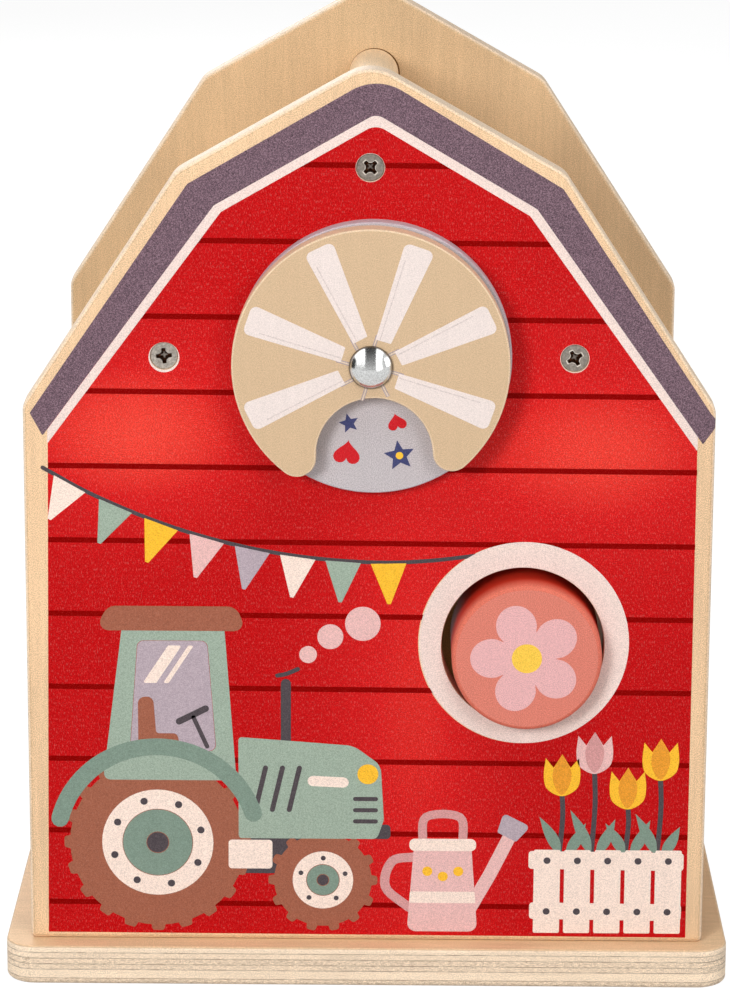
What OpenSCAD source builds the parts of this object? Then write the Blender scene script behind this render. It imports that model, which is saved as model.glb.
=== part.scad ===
/* [Base] */
// Width of the base board
base_w = 215; // [200:1:240]
// Depth of the base board
base_d = 200; // [190:1:230]
// Thickness of the base board
base_t = 12; // [9:0.5:18]
// Radius of the base board's corners in plan
base_r = 9; // [4:0.5:20]
// Rounding of the base board's sanded edges
base_edge = 1.6; // [0.5:0.1:3]

/* [Gables] */
// Width of a gable panel
gable_w = 200; // [190:1:210]
// Thickness of a gable panel
gable_t = 10; // [8:0.5:12]
// Clear space between the two gables
gable_gap = 166; // [150:1:170]
// Height of the eaves above the underside
eave_z = 175.4; // [165:0.1:185]
// Half the width between the two roof bends
knee_x = 55.5; // [50:0.5:62]
// Height of the roof bends
knee_z = 243.7; // [236:0.1:248]
// Height of the sharp peak before it is rounded
peak_z = 275.2; // [268:0.1:285]
// Rounding of the sanded panel edges
gable_edge = 1.5; // [0.5:0.1:2.5]

/* [Bin] */
// Thickness of the side walls
wall_t = 5; // [4:0.5:5]
// Distance of a side wall's outer face from the middle
wall_x = 74.5; // [74:0.5:76]
// Depth of the grooves that hold the side walls
groove = 3; // [2:0.5:5]
// Thickness of the top board
board_t = 10; // [8:0.5:12]
// Height of the screws and the pin in the top board's edge
board_z = 190.3; // [185:0.1:195]
// Width of the doorway that gives the blocks back
door_w = 76; // [60:1:90]
// Height of the doorway's straight sides
door_side = 50; // [30:1:60]
// Place of the doorway's middle, to the left of the toy's middle seen from the front
door_x = -27; // [-30:1:30]

/* [Handle] */
// Diameter of the handle rod
handle_d = 16; // [14:0.5:20]
// Height of the handle rod's axis
handle_z = 245.4; // [240:0.1:250]

/* [Sorting holes] */
// Diameter of the round block
round_d = 43.8; // [40:0.1:45]
// Width of the square block
square_w = 38; // [34:0.5:40]
// Corner radius of the square block
square_r = 5; // [2:0.5:8]
// Side of the triangular block, measured to its sharp corners
triangle_w = 56; // [48:0.5:60]
// Corner radius of the triangular block
triangle_r = 5; // [3:0.5:8]
// Length of every block
block_len = 28; // [20:1:30]
// Room between a block and its hole, all round
hole_gap = 1.85; // [1:0.05:2.5]
// Height of the centre of the round hole
round_z = 104; // [95:0.1:110]
// Distance of the round hole from the middle
round_x = 45.3; // [42:0.1:45.5]
// Height of the centre of the square and triangular holes
side_hole_z = 100; // [80:1:120]
// Length of the round block that stands out of the gable
round_proud = 8; // [2:0.1:10]
// Length of the other blocks that stands out of the walls
side_proud = 12; // [4:0.5:14]

/* [Windmill] */
// Distance of the pin and the turning disc from the middle, to the right
mill_x = 0.5; // [-2:0.1:2]
// Diameter of the turning disc
mill_d = 79.4; // [70:0.1:84]
// Thickness of the turning disc
mill_t = 6.5; // [4:0.5:8]
// Radius of the half-round window in the turning disc
window_r = 16.7; // [12:0.1:18]
// Rounding of the two tips beside that window
tip_r = 5.5; // [3:0.5:6]
// Distance of the window's edge from the middle of the disc
window_start = 9.2; // [9:0.1:12]
// Angle that the disc stands turned at, anticlockwise from the front
mill_turn = 2.5; // [0:0.1:10]
// Diameter of the fixed disc behind it
sky_d = 79.3; // [70:0.1:84]
// Thickness of the fixed disc
sky_t = 5; // [3:0.5:6]
// Diameter of the steel pin
pin_d = 4; // [3:0.5:5]
// Diameter of the washer between the discs
washer_d = 14; // [10:0.5:20]
// Diameter of the domed cap
cap_d = 12.5; // [10:0.5:16]

/* [Screws] */
// Diameter of the countersunk heads
head_d = 8.2; // [6:0.1:9]
// Diameter of the shanks
shank_d = 3.5; // [3:0.1:4.5]

/* [Hidden] */
$fn = 96;

// Colours of the toy, as the photograph shows them
birch = [0.93, 0.80, 0.64];
barn_red = [0.80, 0.12, 0.14];
coral = [0.89, 0.47, 0.39];
sage = [0.57, 0.69, 0.62];
sun_yellow = [0.95, 0.73, 0.20];
sail_beige = [0.89, 0.78, 0.62];
sky_lavender = [0.76, 0.74, 0.79];
steel = [0.75, 0.76, 0.77];

// Depths of the gables' faces, measured from the middle of the toy
inner_y = gable_gap / 2;
outer_y = inner_y + gable_t;

// The top board, whose screws sit a little above the middle of its edge, and the side walls
screw_rise = 0.5;
board_top = board_z - screw_rise + board_t / 2;
board_low = board_top - board_t;
wall_in = wall_x - wall_t;

// The stack of the windmill, from the gable's face outwards
seat = 0.1;
washer_t = 0.9;
sky_y = outer_y + sky_t;
washer_y = sky_y + washer_t;
mill_y = washer_y + seat + mill_t;
cap_y = mill_y + seat;
cap_h = 4.6;
cap_skirt = 0.6;
pin_in_cap = 2.5;
pin_reach = 20;
running_gap = 0.05;
disc_edge = 0.8;
disc_back_edge = 0.5;
sharp = 0.01;
// The fixed disc was glued a little off the pin
sky_shift = [0.7, 0.7];

// A block stands on the lower edge of its hole, and the round one leans to the right
rest_gap = 0.15;
round_hole_r = round_d / 2 + hole_gap;
block_drop = hole_gap - rest_gap;
round_lean = 1.0;
round_drop = sqrt(pow(block_drop, 2) - pow(round_lean, 2));
block_edge = 1.5;
hole_edge = 0.6;

// Screws: the head's cone, the slot's size, the lengths, and the room round them
head_rim = 0.3;
head_cone = 2.4;
head_sunk = 0.3;
point_len = 3;
point_r = 0.3;
slot_w = 1.0;
slot_len = 4.8;
slot_deep = 1.8;
board_screw_len = 30;
handle_screw_len = 35;
base_screw_len = 32;
screw_gap = 0.05;
board_screw_x = 59;
base_screw_x = [-80, -50, 50, 80];

// How far a cutting shape reaches past the face that it cuts
cut = 1;

// Corners of a gable, anticlockwise from the front, each with its own rounding
foot_r = 1.6;
eave_r = 6;
knee_r = 8;
peak_r = 13;
gable_corners = [
    [[-gable_w / 2, base_t], foot_r],
    [[gable_w / 2, base_t], foot_r],
    [[gable_w / 2, eave_z], eave_r],
    [[knee_x, knee_z], knee_r],
    [[0, peak_z], peak_r],
    [[-knee_x, knee_z], knee_r],
    [[-gable_w / 2, eave_z], eave_r]];

function square_corners(w, r) = [for (s = [[-1, -1], [1, -1], [1, 1], [-1, 1]]) [s * w / 2, r]];

function triangle_corners(w, r) = [for (i = [0:2]) [w / sqrt(3) * [-sin(120 * i), cos(120 * i)], r]];

// Centre of the arc that rounds corner i of a list of [point, radius]
function unit(v) = v / norm(v);
function arc_centre(c, i) =
    let (n = len(c), p = c[i][0], a = unit(c[(i + n - 1) % n][0] - p), b = unit(c[(i + 1) % n][0] - p))
    p + unit(a + b) * c[i][1] / sin(acos(a * b) / 2);

// Flat shape with rounded corners, as true arcs
module rounded_shape(c, grow = 0) {
    n = len(c);
    centres = [for (i = [0:n - 1]) arc_centre(c, i)];
    offset_lines = [for (i = [0:n - 1], k = [-1, 1])
        let (other = centres[(i + n + k) % n], along = unit(other - centres[i]),
            out = k * [along[1], -along[0]])
        centres[i] + out * (c[i][1] + grow)];
    polygon(offset_lines);
    for (i = [0:n - 1]) translate(centres[i]) circle(c[i][1] + grow);
}

// Round plate of height h whose two edges are rounded to radius e
module sanded_plate(r, h, e) {
    arc = [for (a = [0:30:90]) e * [sin(a), 1 - cos(a)]];
    rotate_extrude($fn = 32) polygon(concat([[0, 0]],
        [for (i = [0:3]) [r - e + arc[i][0], arc[i][1]]],
        [for (i = [3:-1:0]) [r - e + arc[i][0], h - arc[i][1]]], [[0, h]]));
}

// Slab of height h with rounded corners and a rounded edge of radius e on both faces
module sanded_slab(c, h, e) {
    hull() for (i = [0:len(c) - 1]) translate(arc_centre(c, i)) sanded_plate(c[i][1], h, e);
}

// Turns a flat drawing into a shape that stands up, seen from the front, with its face at depth y
module facing_front(y) { translate([0, y, 0]) rotate([90, 0, 0]) children(); }

// Same for the left and the right side, with the face at distance x
module facing_side(x, side) { translate([side * x, 0, 0]) rotate([90, 0, side * 90]) children(); }

// Countersunk screw whose head faces +Z at height 0 and whose point is below
module screw(length) {
    difference() {
        rotate_extrude($fn = 48) polygon([[0, 0], [head_d / 2, 0], [head_d / 2, -head_rim],
            [shank_d / 2, -head_rim - head_cone], [shank_d / 2, point_len - length],
            [point_r, -length], [0, -length]]);
        for (a = [0, 90]) rotate(a) translate([-slot_len / 2, -slot_w / 2, -slot_deep])
            cube([slot_len, slot_w, slot_deep + cut]);
    }
}

// Space that such a screw needs, with its mouth at height 0
module screw_hole(length) {
    rotate_extrude($fn = 48) polygon([[0, cut], [head_d / 2 + screw_gap, cut],
        [head_d / 2 + screw_gap, -head_sunk - head_rim - screw_gap],
        [shank_d / 2 + screw_gap, -head_sunk - head_rim - head_cone - screw_gap],
        [shank_d / 2 + screw_gap, -length - cut], [0, -length - cut]]);
}

// Puts its children at each board screw of the gable on side s, -1 for the front
module at_board_screws(s) {
    for (x = [-board_screw_x, board_screw_x])
        translate([x, s * outer_y, board_z]) rotate([-s * 90, 0, 0]) children();
}

module at_handle_screw(s) { translate([0, s * outer_y, handle_z]) rotate([-s * 90, 0, 0]) children(); }

module at_base_screws() {
    for (x = base_screw_x, s = [-1, 1])
        translate([x, s * (inner_y + gable_t / 2), 0]) rotate([180, 0, 0]) children();
}

// Plywood base with two grooves for the walls and countersunk holes from below
module base_board() {
    color(birch) difference() {
        sanded_slab([for (s = [[-1, -1], [1, -1], [1, 1], [-1, 1]])
            [[s[0] * base_w / 2, s[1] * base_d / 2], base_r]], base_t, base_edge);
        for (s = [-1, 1])
            translate([s > 0 ? wall_in : -wall_x, -inner_y, base_t - groove])
                cube([wall_t, gable_gap, groove + cut]);
        at_base_screws() screw_hole(base_screw_len);
    }
}

// A gable without its own openings: the outline, the screw holes and nothing else
module plain_gable(s) {
    difference() {
        facing_front(s < 0 ? -inner_y : outer_y) sanded_slab(gable_corners, gable_t, gable_edge);
        at_board_screws(s) screw_hole(board_screw_len);
        at_handle_screw(s) screw_hole(handle_screw_len);
        at_base_screws() screw_hole(base_screw_len);
    }
}

// Hole for the windmill's pin, from depth y forwards over length h
module pin_hole(y, h) {
    translate([mill_x, y, board_z]) rotate([90, 0, 0]) cylinder(d = pin_d + 2 * screw_gap, h = h);
}

// Front gable with the round sorting hole and the hole for the windmill's pin
module front_panel() {
    color(barn_red) difference() {
        plain_gable(-1);
        translate([round_x, 0, round_z]) facing_front(-inner_y - gable_t / 2) {
            cylinder(r = round_hole_r, h = gable_t + 2 * cut, center = true);
            for (face = [-1, 1]) scale([1, 1, face]) translate([0, 0, gable_t / 2 - hole_edge])
                cylinder(r1 = round_hole_r, r2 = round_hole_r + 2 * hole_edge, h = 2 * hole_edge);
        }
        pin_hole(-inner_y + cut, gable_t + 2 * cut);
    }
}

// Back gable with the arched doorway through which the blocks come back. It stands to one side,
// because plain wood is seen through the gap round the block, where a middle doorway would show.
module back_panel() {
    color(barn_red) difference() {
        plain_gable(1);
        translate([door_x, inner_y - cut, base_t]) {
            translate([-door_w / 2, 0, -cut]) cube([door_w, gable_t + 2 * cut, door_side + cut]);
            translate([0, 0, door_side]) rotate([-90, 0, 0]) cylinder(d = door_w, h = gable_t + 2 * cut);
        }
    }
}

// Level board between the gables, rebated along both sides for the walls
module top_board() {
    color(birch) difference() {
        translate([-wall_x, -inner_y, board_low]) cube([2 * wall_x, gable_gap, board_t]);
        for (s = [-1, 1])
            translate([s > 0 ? wall_in : -wall_x - cut, -inner_y - cut, board_low - cut])
                cube([wall_t + cut, gable_gap + 2 * cut, groove + cut]);
        for (s = [-1, 1]) at_board_screws(s) screw_hole(board_screw_len);
        pin_hole(-inner_y + pin_reach + cut, pin_reach + 2 * cut);
    }
}

// Thin wall from groove to rebate, on side s, with the flat drawing of its hole as child
module side_wall(s) {
    difference() {
        translate([s > 0 ? wall_in : -wall_x, -inner_y, base_t - groove])
            cube([wall_t, gable_gap, board_low - base_t + 2 * groove]);
        facing_side(wall_x, s) translate([0, side_hole_z, -wall_t - cut])
            linear_extrude(wall_t + 2 * cut) children();
    }
}

module left_wall() {
    color(birch) side_wall(-1) rounded_shape(square_corners(square_w, square_r), hole_gap);
}

module right_wall() {
    color(birch) side_wall(1) rounded_shape(triangle_corners(triangle_w, triangle_r), hole_gap);
}

// Rod between the peaks, drilled at both ends for its screws
module handle_dowel() {
    color(birch) difference() {
        translate([0, inner_y, handle_z]) rotate([90, 0, 0]) cylinder(d = handle_d, h = gable_gap);
        for (s = [-1, 1]) at_handle_screw(s) screw_hole(handle_screw_len);
    }
}

// Disc of radius r and thickness h with a rounded front edge e, its back at height 0
module rounded_disc(r, h, e, back_e = sharp) {
    rotate_extrude() {
        polygon([[0, 0], [r - back_e, 0], [r, back_e], [r, h - e], [r - e, h], [0, h]]);
        translate([r - e, h - e]) intersection() {
            circle(e, $fn = 48);
            square(2 * e);
        }
    }
}

// Fixed disc behind the windmill
module sky_disc() {
    color(sky_lavender) difference() {
        translate([mill_x + sky_shift[0], 0, board_z + sky_shift[1]]) facing_front(-outer_y)
            rounded_disc(sky_d / 2, sky_t, disc_edge);
        pin_hole(-outer_y + cut, sky_t + 2 * cut);
    }
}

// Outline of the turning disc: the window's walls run straight into its two round tips
module mill_outline() {
    r = mill_d / 2;
    past_rim = 1.6;
    tip_x = window_r + tip_r;
    tip_y = -sqrt(pow(r - tip_r, 2) - pow(tip_x, 2));
    rim = past_rim * [tip_x, tip_y];
    difference() {
        circle(r, $fn = 180);
        translate([0, -window_start - window_r]) circle(window_r, $fn = 120);
        polygon([[-tip_x, tip_y], [tip_x, tip_y], rim, [-rim[0], rim[1]]]);
    }
    for (s = [-1, 1]) translate([s * tip_x, tip_y]) circle(tip_r, $fn = 48);
}

// Turning disc with a round bore for the pin
module windmill_disc() {
    color(sail_beige) translate([mill_x, 0, board_z]) facing_front(mill_t - mill_y) rotate(mill_turn)
        difference() {
            intersection() {
                linear_extrude(mill_t) mill_outline();
                rounded_disc(mill_d / 2, mill_t, disc_edge, disc_back_edge);
            }
            translate([0, 0, -cut]) cylinder(d = pin_d + 2 * running_gap, h = mill_t + 2 * cut);
        }
}

module disc_washer() {
    color(steel) translate([mill_x, 0, board_z]) facing_front(-sky_y) difference() {
        cylinder(d = washer_d, h = washer_t);
        translate([0, 0, -cut]) cylinder(d = pin_d + 2 * screw_gap, h = washer_t + 2 * cut);
    }
}

// Plain steel pin that both discs are threaded on, pressed into the board's edge
module windmill_pin() {
    color(steel) translate([mill_x, 0, board_z]) facing_front(-inner_y + pin_reach)
        cylinder(d = pin_d, h = cap_y + pin_in_cap - inner_y + pin_reach, $fn = 48);
}

// Domed cap pushed on the end of the pin
module hub_cap() {
    dome_h = cap_h - cap_skirt;
    dome_r = (pow(cap_d / 2, 2) + pow(dome_h, 2)) / (2 * dome_h);
    color(steel) translate([mill_x, 0, board_z]) facing_front(-cap_y) difference() {
        rotate_extrude() intersection() {
            union() {
                square([cap_d / 2, cap_skirt]);
                translate([0, cap_h - dome_r]) circle(dome_r, $fn = 180);
            }
            square([cap_d / 2, cap_h]);
        }
        translate([0, 0, -cut]) cylinder(d = pin_d, h = pin_in_cap + cut, $fn = 48);
    }
}

// Round block, standing on the lower edge of its hole
module round_block() {
    color(coral) translate([round_x + round_lean, 0, round_z - round_drop])
        facing_front(-outer_y - round_proud + block_len)
            rounded_disc(round_d / 2, block_len, block_edge, block_edge);
}

module square_block() {
    color(sage) facing_side(wall_x + side_proud - block_len, -1)
        translate([0, side_hole_z - block_drop, 0])
            sanded_slab(square_corners(square_w, square_r), block_len, block_edge);
}

module triangle_block() {
    color(sun_yellow) facing_side(wall_x + side_proud - block_len, 1)
        translate([0, side_hole_z - block_drop, 0])
            sanded_slab(triangle_corners(triangle_w, triangle_r), block_len, block_edge);
}

module handle_screws() {
    color(steel) for (s = [-1, 1]) at_handle_screw(s) translate([0, 0, -head_sunk]) screw(handle_screw_len);
}

module board_screws() {
    color(steel) for (s = [-1, 1]) at_board_screws(s) translate([0, 0, -head_sunk]) screw(board_screw_len);
}

module base_screws() {
    color(steel) at_base_screws() translate([0, 0, -head_sunk]) screw(base_screw_len);
}

base_board();
front_panel();
back_panel();
top_board();
left_wall();
right_wall();
handle_dowel();
sky_disc();
windmill_disc();
disc_washer();
windmill_pin();
hub_cap();
round_block();
square_block();
triangle_block();
handle_screws();
board_screws();
base_screws();
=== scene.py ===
import math

import bmesh
import bpy
from mathutils import Matrix, Quaternion, Vector, geometry


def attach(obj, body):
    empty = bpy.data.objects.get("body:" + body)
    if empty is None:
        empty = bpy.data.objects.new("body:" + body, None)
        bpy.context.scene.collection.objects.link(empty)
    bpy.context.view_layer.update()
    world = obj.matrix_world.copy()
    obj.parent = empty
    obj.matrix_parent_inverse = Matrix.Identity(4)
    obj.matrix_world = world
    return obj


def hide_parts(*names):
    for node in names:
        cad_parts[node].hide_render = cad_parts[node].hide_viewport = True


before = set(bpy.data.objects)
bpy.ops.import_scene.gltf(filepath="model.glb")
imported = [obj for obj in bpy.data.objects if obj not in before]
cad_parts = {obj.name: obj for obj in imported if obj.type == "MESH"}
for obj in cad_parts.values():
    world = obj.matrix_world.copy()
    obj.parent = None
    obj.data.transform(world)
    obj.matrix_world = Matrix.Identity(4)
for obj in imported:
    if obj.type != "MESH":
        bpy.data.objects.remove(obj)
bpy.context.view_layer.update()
scene = bpy.context.scene


# The studio
# The toy stands on a white table among six soft boxes, with the camera a little above it. The
# places of this section are in metres, all other sizes in millimetres, and colours 0 to 255.
WHITE = (1.0, 1.0, 1.0, 1.0)
TOY_MIDDLE = (0, 0, 0.13)
CAP_Y, CAP_Z, CARD_R = -0.105, 0.19, 0.45


def paint(r, g, b):
    """The colour that looks like r, g, b, as light values"""
    return tuple(c / 3294.6 if c < 10.3 else ((c / 255 + 0.055) / 1.055) ** 2.4 for c in (r, g, b)) + (1.0,)


def wire(tree, kind, inputs=None, **settings):
    """Adds a node, sets its settings, and fills its inputs with values or links"""
    node = tree.nodes.new(kind)
    for name, value in settings.items():
        setattr(node, name, value)
    for name, value in (inputs or {}).items():
        if isinstance(value, bpy.types.NodeSocket):
            tree.links.new(value, node.inputs[name])
        else:
            node.inputs[name].default_value = value
    return node


def feed(kind, inputs, **settings):
    """Adds a node to the tree that its inputs come from"""
    tree = next(value.id_data for value in inputs.values() if isinstance(value, bpy.types.NodeSocket))
    return wire(tree, kind, inputs, **settings)


def calc(operation, *values):
    """The result of one Math node"""
    return feed("ShaderNodeMath", dict(enumerate(values)), operation=operation).outputs[0]


def spread(value, low, high):
    """A value from 0 to 1, spread from low to high"""
    return feed("ShaderNodeMapRange", {"Value": value, "To Min": low, "To Max": high}).outputs[0]


def split(vector):
    """The x, y and z of a vector"""
    return feed("ShaderNodeSeparateXYZ", {0: vector}).outputs


def bare_finish(name):
    """A material with no nodes yet"""
    finish = bpy.data.materials.new(name)
    finish.use_nodes = True
    finish.node_tree.nodes.clear()
    return finish, finish.node_tree


def set_stage(name, mesh, finish, shader):
    """Puts up a piece of the studio, which isn't part of the toy"""
    wire(finish.node_tree, "ShaderNodeOutputMaterial", {"Surface": shader.outputs[0]})
    piece = bpy.data.objects.new(name, bpy.data.meshes.new(name))
    mesh.to_mesh(piece.data)
    scene.collection.objects.link(piece)
    piece.data.materials.append(finish)
    return piece


def background():
    """White where the camera or a shiny part looks, and a plain soft light elsewhere"""
    world = bpy.data.worlds.new("studio")
    world.use_nodes = True
    scene.world = world
    tree = world.node_tree
    seen = wire(tree, "ShaderNodeLightPath").outputs
    direct = calc("MAXIMUM", seen["Is Camera Ray"], seen["Is Transmission Ray"])
    direct = calc("MAXIMUM", direct, calc("MULTIPLY", seen["Is Glossy Ray"], 0.72))
    light = tree.nodes["Background"]
    light.inputs["Color"].default_value = WHITE
    tree.links.new(spread(direct, 0.08, 1.0), light.inputs["Strength"])


def white_table():
    """A wide table that stays white round the toy and still takes its shadow"""
    mesh = bmesh.new()
    bmesh.ops.create_circle(mesh, cap_ends=True, segments=64, radius=9.0)
    finish, tree = bare_finish("white_table")
    flat = wire(tree, "ShaderNodeBsdfDiffuse", {"Color": paint(188, 188, 188)})
    soft = wire(tree, "ShaderNodeBsdfDiffuse", {"Color": paint(105, 105, 105)})
    glow = wire(tree, "ShaderNodeEmission", {"Color": WHITE, "Strength": 0.945})
    both = wire(tree, "ShaderNodeAddShader", {0: soft.outputs[0], 1: glow.outputs[0]})
    seen = wire(tree, "ShaderNodeLightPath").outputs
    seen = calc("MAXIMUM", seen["Is Camera Ray"], calc("MULTIPLY", seen["Is Glossy Ray"], 0.75))
    mix = wire(tree, "ShaderNodeMixShader", {0: seen, 1: flat.outputs[0], 2: both.outputs[0]})
    set_stage("table", mesh, finish, mix)


def soft_box(name, place, width, height, power, shiny=True):
    """An area lamp that looks at the toy; shiny parts mirror it unless it says not"""
    lamp = bpy.data.lights.new(name, "AREA")
    lamp.shape, lamp.size, lamp.size_y, lamp.energy = "RECTANGLE", width, height, power
    holder = bpy.data.objects.new(name, lamp)
    holder.location = place
    holder.rotation_euler = (Vector(TOY_MIDDLE) - Vector(place)).to_track_quat("-Z", "Y").to_euler()
    holder.visible_glossy = shiny
    scene.collection.objects.link(holder)


def arc_rows(low, high, start, end):
    """Pairs of points along an arc over the cap, low to high degrees; start and end are its sides"""
    rows = []
    for turn, share in ((math.radians(low + (high - low) * k / 12), k / 12) for k in range(13)):
        y, z = CAP_Y - CARD_R * math.cos(turn), CAP_Z + CARD_R * math.sin(turn)
        rows.append([(a + (b - a) * share, y, z) for a, b in zip(start, end)])
    return rows


def mirror_card(name, rows, low, high):
    """A card, seen only by shiny parts, that the cap mirrors as a patch, from low at its foot to high
    at its top"""
    mesh = bmesh.new()
    rows = [[mesh.verts.new(p) for p in row] for row in rows]
    for a, b in zip(rows, rows[1:]):
        mesh.faces.new((a[0], a[1], b[1], b[0]))
    finish, tree = bare_finish(name)
    rise = split(wire(tree, "ShaderNodeTexCoord").outputs["Generated"])[2]
    shade = wire(tree, "ShaderNodeEmission", {"Color": WHITE, "Strength": spread(rise, low, high)})
    card = set_stage(name, mesh, finish, shade)
    for way in ("camera", "diffuse", "transmission", "volume_scatter", "shadow"):
        setattr(card, "visible_" + way, False)


background()
white_table()
soft_box("key_box", (-0.55, -1.25, 0.58), 0.38, 0.38, 11.1, shiny=False)
soft_box("fill_box", (0.52, -1.27, 0.67), 0.38, 0.38, 4.5, shiny=False)
soft_box("top_box", (0.05, -0.62, 1.50), 1.0, 0.8, 7.8, shiny=False)
soft_box("left_box", (-1.35, 0.35, 0.55), 0.7, 0.7, 3.8)
soft_box("right_box", (1.32, -0.20, 0.45), 0.7, 0.7, 4.7)
soft_box("back_box", (-0.5, 1.45, 0.90), 0.9, 0.9, 13)
mirror_card("middle_card", arc_rows(-16, 102, (-0.228, 0.203), (-0.171, 0.153)), 0.75, 0.07)
mirror_card("left_card", arc_rows(-18, 102, (-0.95, -0.230), (-0.85, -0.172)), 0.7, 2.6)
mirror_card("right_card", arc_rows(-18, 102, (0.205, 0.57), (0.154, 0.46)), 2.2, 2.2)
mirror_card("dark_card", [[(-0.62, -0.30, z), (-0.62, 0.13, z)] for z in (0.06, 0.42)], 0.04, 0.04)

camera = bpy.data.objects.new("camera", bpy.data.cameras.new("camera"))
camera.data.lens, camera.data.sensor_width, camera.data.sensor_fit = 143.42, 36, "AUTO"
camera.data.clip_start, camera.data.clip_end = 0.05, 30
# The camera's turn to the left, its tilt down and its lean, in radians
yaw, tilt, lean = -0.00646, 0.2587, 0.00497
ahead = Vector((math.sin(yaw) * math.cos(tilt), math.cos(yaw) * math.cos(tilt), -math.sin(tilt)))
aside = Quaternion(ahead, -lean) @ Vector((math.cos(yaw), -math.sin(yaw), 0))
camera.matrix_world = Matrix((aside, aside.cross(ahead), -ahead)).transposed().to_4x4()
camera.location = (0.00616, -1.20906, 0.44326)
scene.collection.objects.link(camera)
scene.camera = camera
scene.view_settings.view_transform = "Standard"


# Base board
# A birch plywood board, sawn with round corners, its edges sanded so that the layers show.
# The gables stand on it, and eight countersunk screws come up through it into their edges.
MM = 0.001
OUTWARD = {"front": (0, -1, 0), "back": (0, 1, 0), "left": (-1, 0, 0), "right": (1, 0, 0), "top": (0, 0, 1)}


def facing(side, x, y, z, turn=0.0):
    """Frame of a flat face seen from in front: x to the right, y up, z out of the face"""
    out = Vector(OUTWARD[side])
    up = Vector((0, 1, 0) if side == "top" else (0, 0, 1))
    flat = Matrix((up.cross(out), up, out)).transposed() @ Matrix.Rotation(math.radians(turn), 3, "Z")
    return Matrix.Translation(Vector((x, y, z)) * MM) @ flat.to_4x4() @ Matrix.Scale(MM, 4)


def round_corners(corners):
    """Anticlockwise outline with round corners, as pairs of a point and the way out there"""
    found = []
    for i, (x, y, r) in enumerate(corners):
        p = Vector((x, y))
        a = (Vector(corners[i - 1][:2]) - p).normalized()
        b = (Vector(corners[(i + 1) % len(corners)][:2]) - p).normalized()
        half = math.acos(max(-1, min(1, a.dot(b)))) / 2
        side = -1 if a.x * b.y - a.y * b.x > 0 else 1
        middle = p + (a + b).normalized() * r / math.sin(half)
        start, end = (p + way * r / math.tan(half) - middle for way in (a, b))
        sweep = -start.angle_signed(end, 0)
        steps = 4 + int(r * 0.8)
        for k in range(steps + 1):
            out = Matrix.Rotation(sweep * k / steps, 2) @ start.normalized()
            found.append((middle + out * r, out * side))
    return found


def four_corners(left, low, right, top, r):
    """Corners of an upright rectangle, anticlockwise, each with its radius"""
    return [(left, low, r), (right, low, r), (right, top, r), (left, top, r)]


def spokes(start, end, count):
    """Unit vectors from one angle to another, in radians"""
    turns = [start + (end - start) * k / count for k in range(count + 1)]
    return [Vector((math.cos(t), math.sin(t))) for t in turns]


def round_hole(x, y, r, count=96):
    """Outline of a circle, as pairs of a point and the way out there"""
    return [(Vector((x, y)) + r * s, s) for s in spokes(0, 2 * math.pi, count)[:-1]]


def sanding(edge, thickness, back_edge=None, steps=5):
    """How far a sanded edge stands back at each depth, from the front face to the back one"""
    turns = [math.pi / 2 * k / steps for k in range(steps + 1)]
    front, rear = [[(r * (1 - math.sin(t)), r * (1 - math.cos(t))) for t in turns]
                   for r in (edge, back_edge or edge)]
    return front + [(back, thickness - deep) for back, deep in reversed(rear)]


def make_piece(name, mesh, finish, flat=False):
    """Makes an object of a finished mesh, with its faces outwards and its shading even"""
    bmesh.ops.recalc_face_normals(mesh, faces=mesh.faces)
    for face in mesh.faces:
        face.smooth = not flat
    piece = bpy.data.objects.new(name, bpy.data.meshes.new(name))
    mesh.to_mesh(piece.data)
    mesh.free()
    scene.collection.objects.link(piece)
    piece.data.materials.append(finish)
    if not flat:
        even = piece.modifiers.new("even_shading", "WEIGHTED_NORMAL")
        even.keep_sharp = True
    return piece


def carry(piece, body):
    """Lets a piece move with a body"""
    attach(piece, body)


def stands_for(piece, node, body):
    """Puts a dressed piece in the place of a plain solid"""
    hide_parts(node)
    carry(piece, body)


def skin(mesh, rings):
    """Faces between each loop of points and the next"""
    for low, high in zip(rings, rings[1:]):
        for k in range(len(low)):
            mesh.faces.new((low[k - 1], low[k], high[k], high[k - 1]))


def fill(mesh, rings, home):
    """A flat face between an outline and the openings in it; home turns their place to x and y"""
    corners = [v for ring in rings for v in ring]
    flat = [[Vector((*(home @ v.co).xy, 0)) for v in ring] for ring in rings]
    for tri in geometry.tessellate_polygon(flat):
        mesh.faces.new([corners[k] for k in tri])


def sawn_board(name, where, outline, thickness, edge, finish, openings=(), sinks=(), back_sinks=(),
               back_edge=None):
    """Board sawn to an outline, with sanded openings and blind holes for screws and pins"""
    mesh = bmesh.new()
    home = where.inverted()

    def wall(loop, side, profile):
        rings = [[mesh.verts.new(where @ Vector((*(p + out * side * back), -deep))) for p, out in loop]
                 for back, deep in profile]
        skin(mesh, rings)
        return rings

    fronts, backs = [], []
    for loop, side, rounding in [(outline, -1, edge)] + [(o, 1, e) for o, e in openings]:
        rings = wall(loop, side, sanding(rounding, thickness, back_edge))
        fronts.append(rings[0])
        backs.append(rings[-1])
    for found, holes, from_front in ((fronts, sinks, True), (backs, back_sinks, False)):
        for loop, profile in holes:
            rings = wall(loop, 1, [(g, d if from_front else thickness - d) for g, d in profile])
            found.append(rings[0])
            fill(mesh, [rings[-1]], home)
    fill(mesh, fronts, home)
    fill(mesh, backs, home)
    return make_piece(name, mesh, finish)


def new_finish(name, rough, gloss=0.5):
    """An empty material and its shader, ready to be wired"""
    finish = bpy.data.materials.new(name)
    finish.use_nodes = True
    shader = finish.node_tree.nodes["Principled BSDF"]
    shader.inputs["Roughness"].default_value = rough
    shader.inputs["Specular IOR Level"].default_value = gloss
    return finish, finish.node_tree, shader


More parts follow.
